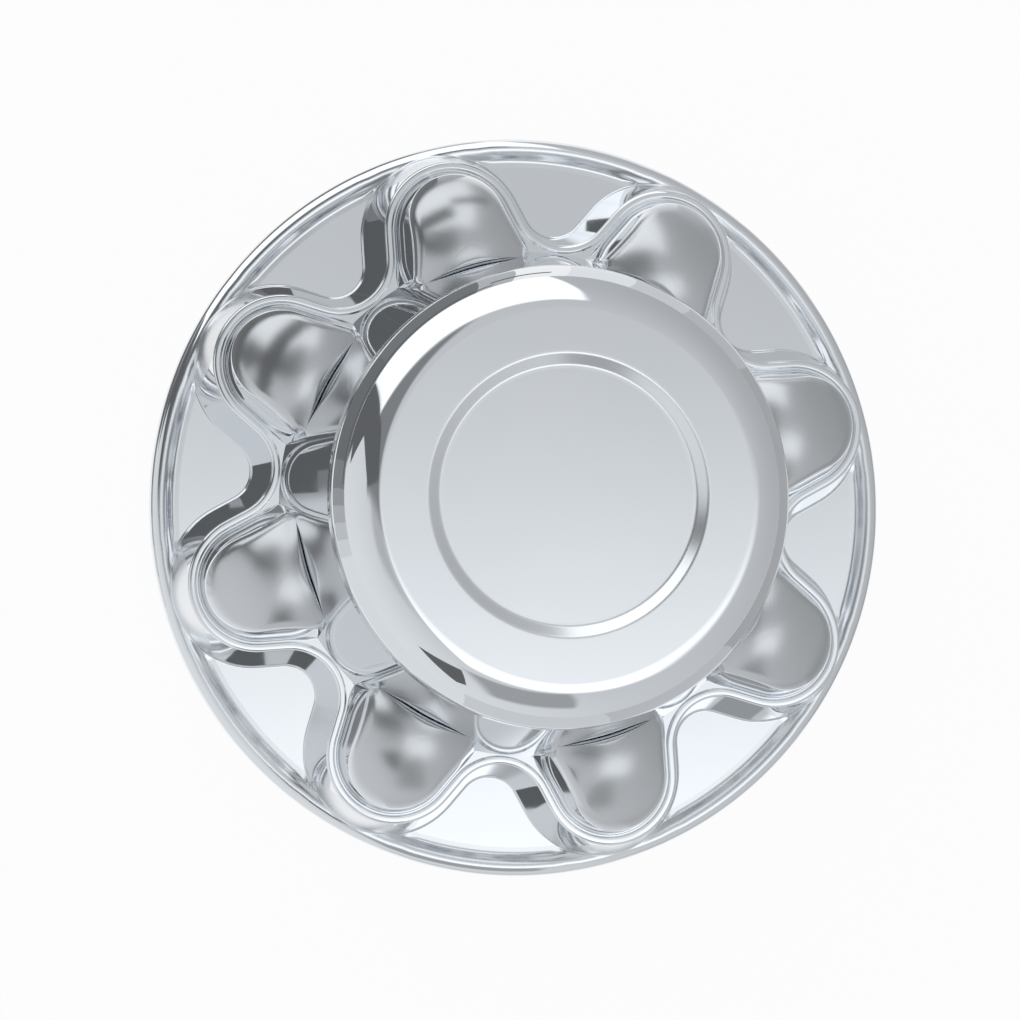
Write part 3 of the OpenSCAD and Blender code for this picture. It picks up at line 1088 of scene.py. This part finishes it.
def tint(tree, value, first, second):
    """A colour that follows the value from first to second; either may be a plain colour."""
    node = tree.nodes.new("ShaderNodeMix")
    node.data_type = "RGBA"
    for socket, colour in ((node.inputs["A"], first), (node.inputs["B"], second)):
        if isinstance(colour, bpy.types.NodeSocket):
            tree.links.new(colour, socket)
        else:
            socket.default_value = (*colour, 1)
    tree.links.new(value, node.inputs["Factor"])
    return node.outputs["Result"]


def bump(tree, value, shader, distance, strength=1.0):
    """Height detail from the pattern."""
    node = tree.nodes.new("ShaderNodeBump")
    node.inputs["Distance"].default_value = distance
    node.inputs["Strength"].default_value = strength
    tree.links.new(value, node.inputs["Height"])
    tree.links.new(node.outputs["Normal"], shader.inputs["Normal"])


def split(tree, vector):
    """The three parts of a vector."""
    node = tree.nodes.new("ShaderNodeSeparateXYZ")
    tree.links.new(vector, node.inputs["Vector"])
    return node.outputs


def on_crowns(tree, coordinates):
    """One on the domes' crowns, which face upwards between the lip's height and the hub's edge; it
    places both their haze and their painted shade.
    """
    height = split(tree, coordinates)["Z"]
    normal = tree.nodes.new("ShaderNodeNewGeometry").outputs["Normal"]
    above = eased(tree, height, *CROWNS_COME_IN)
    below = eased(tree, height, *CROWNS_GO_OUT)
    upward = eased(tree, split(tree, normal)["Z"], *CROWNS_LOOK_UP)
    return combined(tree, "MULTIPLY", combined(tree, "MULTIPLY", above, below), upward)


def in_ring(tree, coordinates, inner, outer, height):
    """One between two radii, from just above a height."""
    place = split(tree, coordinates)
    squares = [combined(tree, "MULTIPLY", place[name], place[name]) for name in ("X", "Y")]
    radius = combined(tree, "SQRT", combined(tree, "ADD", *squares), 0.0)
    above = eased(tree, place["Z"], height, height + RING_EDGE)
    within = combined(tree, "MULTIPLY", above, eased(tree, radius, inner, inner + RING_EDGE))
    return combined(tree, "MULTIPLY", within, eased(tree, radius, outer, outer - RING_EDGE))


def plating_haze(tree, coordinates, finish, crowns):
    """Roughness of the plating: smears all over, and more on the crowns and in the dull rings."""
    smears = noise(tree, coordinates, *SMEARS)
    haze = remap(tree, smears, finish.chrome_haze / HAZE_PARTS, finish.chrome_haze)
    dull_places = [(crowns, finish.dome_haze)]
    dull_places += [(in_ring(tree, coordinates, *ring), finish.ring_haze) for ring in HAZY_RINGS]
    for place, amount in dull_places:
        haze = combined(tree, "MAXIMUM", haze, combined(tree, "MULTIPLY", place, amount))
    return haze


def chrome_plating(finish):
    """Bright chrome on moulded plastic: a mirror with faint waves and a breath of haze, with painted
    shade that darkens the domes' crowns.
    """
    material, tree, shader, coordinates = new_material("chrome_plating")
    shader.inputs["Metallic"].default_value = 1.0
    bright = np.array(finish.chrome_colour)
    # Painted shade: a darker copy of the chrome's colour for the crowns, which stands in for their
    # dimmer reflections
    crown_painted_shade = bright * finish.dome_painted_shade
    cloud = remap(tree, noise(tree, coordinates, *CLOUDS), 0, 1)
    crowns = on_crowns(tree, coordinates)
    open_colour = tint(tree, cloud, bright, bright * CLOUD_TINT)
    painted_shade_colour = tint(tree, cloud, crown_painted_shade, crown_painted_shade * DOME_CLOUD)
    # The crowns take the painted shade colour, the rest the open chrome colour
    colour = tint(tree, crowns, open_colour, painted_shade_colour)
    tree.links.new(colour, shader.inputs["Base Color"])
    haze = plating_haze(tree, coordinates, finish, crowns)
    tree.links.new(haze, shader.inputs["Roughness"])
    bump(tree, noise(tree, coordinates, *WAVES), shader, finish.chrome_waviness)
    return material


def spring_wire(finish):
    """Drawn stainless wire: satin, with fine streaks and slight stains."""
    material, tree, shader, coordinates = new_material("spring_wire")
    wire = np.array(finish.wire_colour)
    shader.inputs["Metallic"].default_value = 1.0
    streaks = noise(tree, coordinates, *STREAKS)
    stains = remap(tree, noise(tree, coordinates, *STAINS), 0, 1)
    tree.links.new(tint(tree, stains, wire, wire * STAIN_SHADE), shader.inputs["Base Color"])
    roughness = finish.wire_roughness
    rough = remap(tree, streaks, roughness * WIRE_CLEAR, roughness * WIRE_ROUGH)
    tree.links.new(rough, shader.inputs["Roughness"])
    bump(tree, streaks, shader, GRAIN_DEPTH, GRAIN_STRENGTH)
    return material


def floor(studio):
    """A plain pale floor that keeps the object's shadow."""
    deselect_all()
    bpy.ops.mesh.primitive_plane_add(size=studio.floor_size)
    plane = bpy.context.object
    plane.name = "studio_floor"
    material, tree, shader, _ = new_material("studio_floor")
    shader.inputs["Base Color"].default_value = (*studio.floor_colour, 1)
    shader.inputs["Roughness"].default_value = FLOOR_ROUGHNESS
    shader.inputs["Specular IOR Level"].default_value = 0.0
    glow = tree.nodes.new("ShaderNodeEmission")
    mix = tree.nodes.new("ShaderNodeMixShader")
    tree.links.new(shown_share(tree, studio.floor_glow), mix.inputs["Fac"])
    tree.links.new(shader.outputs["BSDF"], mix.inputs[1])
    tree.links.new(glow.outputs["Emission"], mix.inputs[2])
    tree.links.new(mix.outputs["Shader"], tree.nodes["Material Output"].inputs["Surface"])
    plane.data.materials.append(material)


def shown_share(tree, share):
    """The share for rays from the camera, from mirrors and through glass, and none for others."""
    path = tree.nodes.new("ShaderNodeLightPath").outputs
    shown = combined(tree, "MAXIMUM", path["Is Camera Ray"], path["Is Glossy Ray"])
    shown = combined(tree, "MAXIMUM", shown, path["Is Transmission Ray"])
    return combined(tree, "MULTIPLY", shown, share)


def sighted(sideways, upwards, distance):
    """A studio place, from degrees off the axle line as the photo shows them and a distance."""
    tilt = math.radians(math.hypot(sideways, upwards))
    turn = math.atan2(upwards, sideways) - PHOTO_TURN
    flat = math.sin(tilt)
    return distance * np.array([flat * math.cos(turn), flat * math.sin(turn), math.cos(tilt)])


def card(name, corners, finish):
    """A flat studio card on four corners, which shows only where something mirrors it."""
    deselect_all()
    bpy.ops.mesh.primitive_plane_add(size=1)
    sheet = bpy.context.object
    sheet.name = name
    first, second, third, fourth = corners
    sheet.data.vertices.foreach_set("co", np.concatenate([first, second, fourth, third]))
    sheet.data.update()
    sheet.data.materials.append(finish)
    sheet.visible_camera = False
    sheet.visible_diffuse = False
    sheet.visible_shadow = False


def glowing(name, colour, strength):
    """A plain even glow, as of a lit cloth, that is mirrored but isn't searched as a lamp."""
    material = bpy.data.materials.new(name)
    material.use_nodes = True
    tree = material.node_tree
    tree.nodes.remove(tree.nodes["Principled BSDF"])
    glow = tree.nodes.new("ShaderNodeEmission")
    glow.inputs["Color"].default_value = (*colour, 1)
    glow.inputs["Strength"].default_value = strength
    tree.links.new(glow.outputs["Emission"], tree.nodes["Material Output"].inputs["Surface"])
    material.cycles.emission_sampling = "NONE"
    return material


def along(tree, way, direction):
    """How far the looked-up direction points along the given one."""
    dot = tree.nodes.new("ShaderNodeVectorMath")
    dot.operation = "DOT_PRODUCT"
    dot.inputs[1].default_value = direction
    tree.links.new(way, dot.inputs[0])
    return dot.outputs["Value"]


def patch(tree, way, brightness, corners, level):
    """The brightness with one patch of sky added, whose edges may be soft."""
    places = [sighted(*place, 1) for place, _ in corners]
    middle = sum(places)
    inside = 1.0
    for (_, softness), here, there in zip(corners, places, places[1:] + places[:1]):
        inward = np.cross(here, there)
        inward *= np.sign(inward @ middle) / np.linalg.norm(inward)
        width = math.sin(math.radians(softness))
        edge = eased(tree, along(tree, way, inward), -width, width)
        inside = combined(tree, "MULTIPLY", inside, edge)
    mix = tree.nodes.new("ShaderNodeMix")
    mix.inputs["B"].default_value = level
    tree.links.new(inside, mix.inputs["Factor"])
    tree.links.new(brightness, mix.inputs["A"])
    return mix.outputs["Result"]


def studio_light(scene, studio):
    """A soft world light with lit and dark patches, which the chrome mirrors.

    It is so even that it isn't searched for bright places, which saves half the render's time.
    """
    world = bpy.data.worlds.new("studio")
    scene.world = world
    world.use_nodes = True
    world.cycles.sampling_method = "NONE"
    tree = world.node_tree
    background = tree.nodes["Background"]
    background.inputs["Color"].default_value = (*studio.light_colour, 1)
    way = tree.nodes.new("ShaderNodeTexCoord").outputs["Generated"]
    slope = along(tree, way, sighted(*BRIGHT_SIDE, studio.light_slope))
    brightness = combined(tree, "ADD", slope, studio.light_level)
    for corners, level in (
            (KEY_PATCH, studio.key_level),
            (HALF_SHADE_PATCH, studio.half_shade_level),
            (SHADE_PATCH, studio.shade_level),
            (HORIZON_PATCH, studio.dark_level),
            (SIDE_PATCH_RIGHT, studio.side_level),
            (SIDE_PATCH_LEFT, studio.side_level),
            (STRIP_PATCH, studio.strip_level)):
        brightness = patch(tree, way, brightness, corners, level)
    tree.links.new(brightness, background.inputs["Strength"])


def sighted_card(seen_from, distance, outline):
    """Corners of a card that is given as it looks from one place."""
    place = np.array(seen_from) * MM
    here = lifted(turned(place[None, :2], -PHOTO_TURN), place[2])[0]
    return [here + sighted(*corner, distance) for corner in outline]


def sector(first, last, inner, outer, height):
    """Corners of a level card between two directions of the photo's frame and two radii."""
    turns = np.radians([first, first, last, last]) - PHOTO_TURN
    reach = np.array([inner, outer, outer, inner])
    return lifted(directions(turns) * reach[:, None], height)


def dark_cards(studio):
    """Dark cards beside the camera and over the rim that only the chrome sees."""
    finish = glowing("dark_card", studio.light_colour, studio.dark_level)
    cards = [sighted_card(*row) for row in DARK_CARDS]
    cards += [sector(*row[:2], *(size * MM for size in row[2:])) for row in HOOD_CARDS]
    for index, corners in enumerate(cards, 1):
        card("dark_card_%d" % index, corners, finish)


def floor_cloths(studio):
    """Cloths round the cover that only its chrome sees."""
    for index, (first, last, level) in enumerate(FLOOR_CLOTHS, 1):
        name = "floor_cloth_%d" % index
        corners = sector(first, last, CLOTH_INNER, CLOTH_OUTER, CLOTH_LIFT)
        card(name, corners, glowing(name, studio.light_colour, level))


def camera(scene, studio):
    """A camera where the photograph's stood."""
    deselect_all()
    bpy.ops.object.camera_add(location=studio.camera_place, rotation=studio.camera_turn)
    view = bpy.context.object
    view.name = "photo_camera"
    view.data.lens = studio.lens
    view.data.clip_start = NEAR_CLIP
    view.data.clip_end = FAR_CLIP
    scene.camera = view


GROUPS = {
    "hub_cover_form": HubCoverForm,
    "hub_cover_domes": HubCoverDomes,
    "hub_cover_hub": HubCoverHub,
    "hub_cover_finish": HubCoverFinish,
    "hub_cover_studio": HubCoverStudio,
}
OPERATORS = (HUBCOVER_OT_shell, HUBCOVER_OT_rings, HUBCOVER_OT_stage)


def register():
    """Makes the property groups, the operators and the panel known to Blender."""
    for name, group in GROUPS.items():
        bpy.utils.register_class(group)
        setattr(bpy.types.Scene, name, bpy.props.PointerProperty(type=group))
    for operator in OPERATORS:
        bpy.utils.register_class(operator)
    bpy.utils.register_class(HUBCOVER_PT_panel)


def unregister():
    """Takes them away again."""
    bpy.utils.unregister_class(HUBCOVER_PT_panel)
    for operator in reversed(OPERATORS):
        bpy.utils.unregister_class(operator)
    for name, group in reversed(GROUPS.items()):
        delattr(bpy.types.Scene, name)
        bpy.utils.unregister_class(group)


def main():
    """Builds the cover and its studio."""
    register()
    bpy.ops.hubcover.shell()
    bpy.ops.hubcover.rings()
    bpy.ops.hubcover.stage()


if __name__ == "__main__":
    main()
